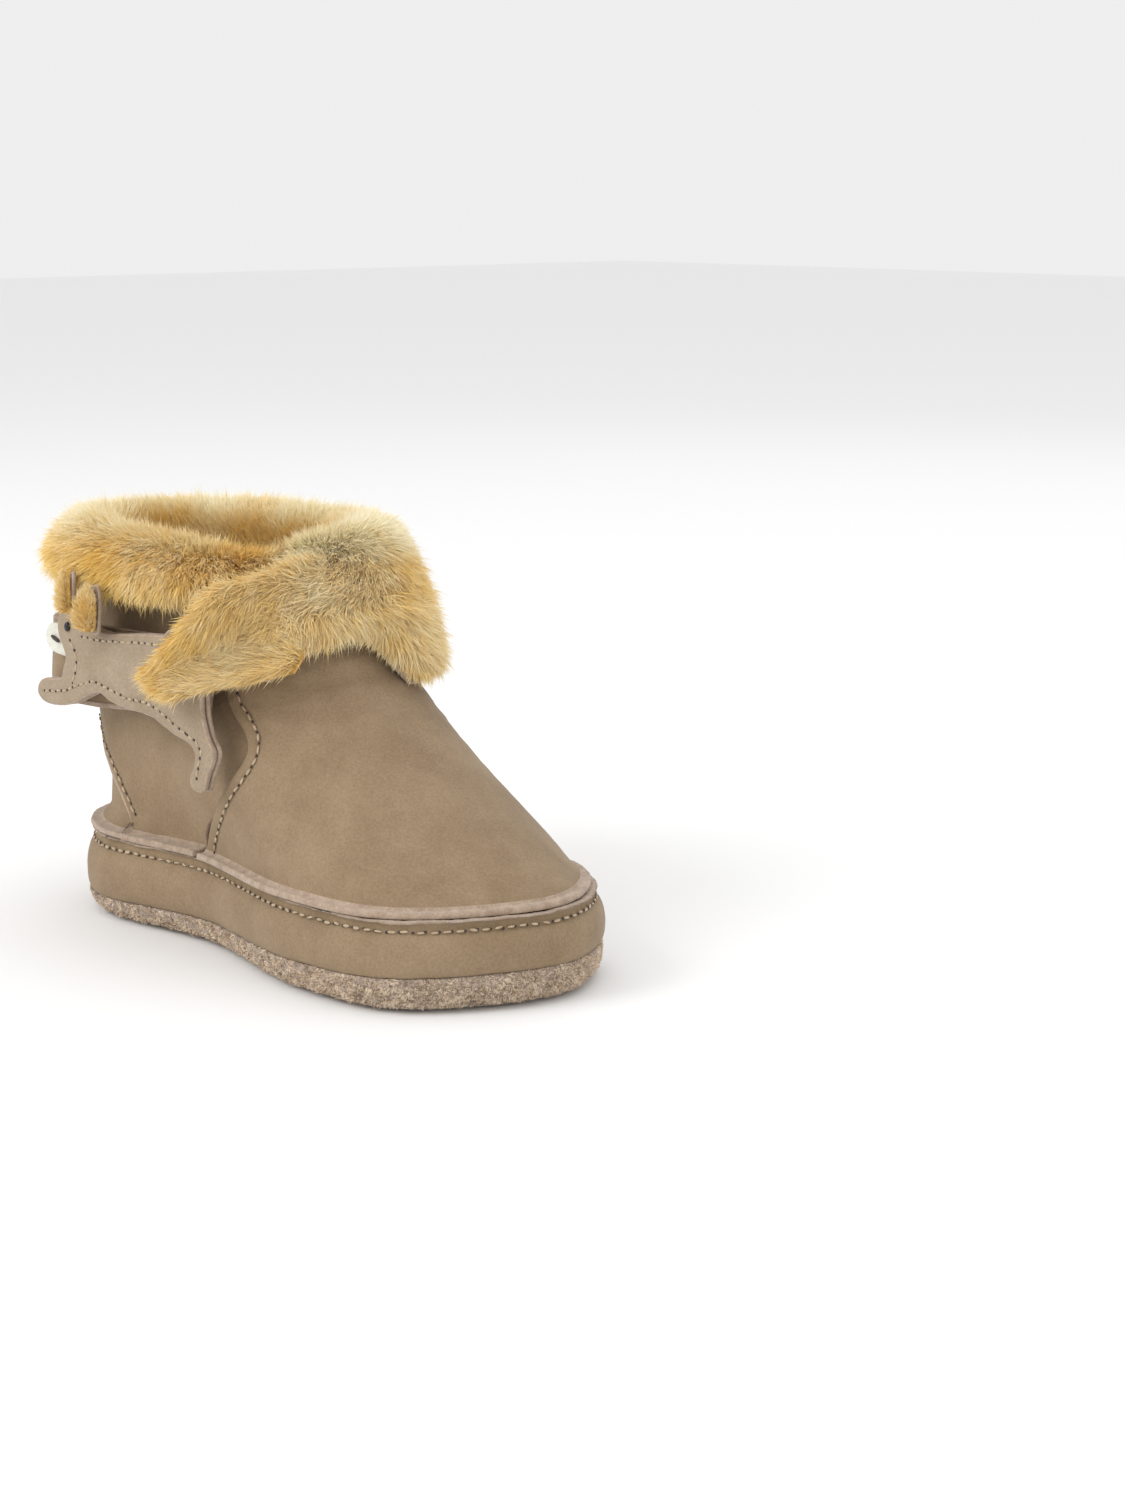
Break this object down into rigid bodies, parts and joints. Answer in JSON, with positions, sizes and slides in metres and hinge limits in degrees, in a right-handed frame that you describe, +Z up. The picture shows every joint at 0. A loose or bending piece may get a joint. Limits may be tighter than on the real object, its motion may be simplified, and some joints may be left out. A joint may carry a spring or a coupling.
{
  "type": "baby bootie",
  "caption": "Soft-soled baby bootie for the right foot, pile-lined with a turned-down cuff, an ankle band and an animal-shaped closing strap on the outer side.",
  "frame": {"origin": "under the middle of the whole bootie's box, on the floor", "axes": "+X towards the toe, -Y towards the outer (closing) side, +Z up"},
  "size_m": [0.1336, 0.0622, 0.0788],
  "materials": {
    "nubuck": "matt napped taupe leather with a fine grain",
    "suede": "coarse mottled suede",
    "pile": "dense golden pile with pale tips",
    "foam": "open-cell foam sheet",
    "white_leather": "smooth off-white leather",
    "dark_thread": "near-black",
    "hook_tape": "hook and loop tape"
  },
  "bodies": {
    "bootie": {"side_wall": "nubuck", "vamp": "nubuck", "heel_counter": "nubuck", "quarter": "nubuck", "ankle_band": "nubuck", "rear_cuff_leather": "nubuck", "front_cuff_leather": "nubuck", "strap_root": "nubuck", "outsole": "suede", "insole_pile": "pile", "rear_lining": "pile", "front_lining": "pile", "rear_cuff_pile": "pile", "front_cuff_pile": "pile", "foam_midsole": "foam", "loop_patch": "hook_tape"},
    "strap": {"strap_face": "nubuck", "strap_backing": "nubuck", "hook_patch": "hook_tape", "muzzle": "white_leather", "nose": "dark_thread", "eye": "dark_thread", "ear_front_leather": "nubuck", "ear_front_pile": "pile", "ear_rear_leather": "nubuck", "ear_rear_pile": "pile", "corner_leather": "nubuck", "corner_pile": "pile"}
  },
  "joints": [
    {"name": "strap_hinge", "type": "hinge", "parent": "bootie", "child": "strap", "pos_m": [0.0043, -0.02515, 0.053], "axis": [0, 0, 1], "range_deg": [0, 80]}
  ]
}
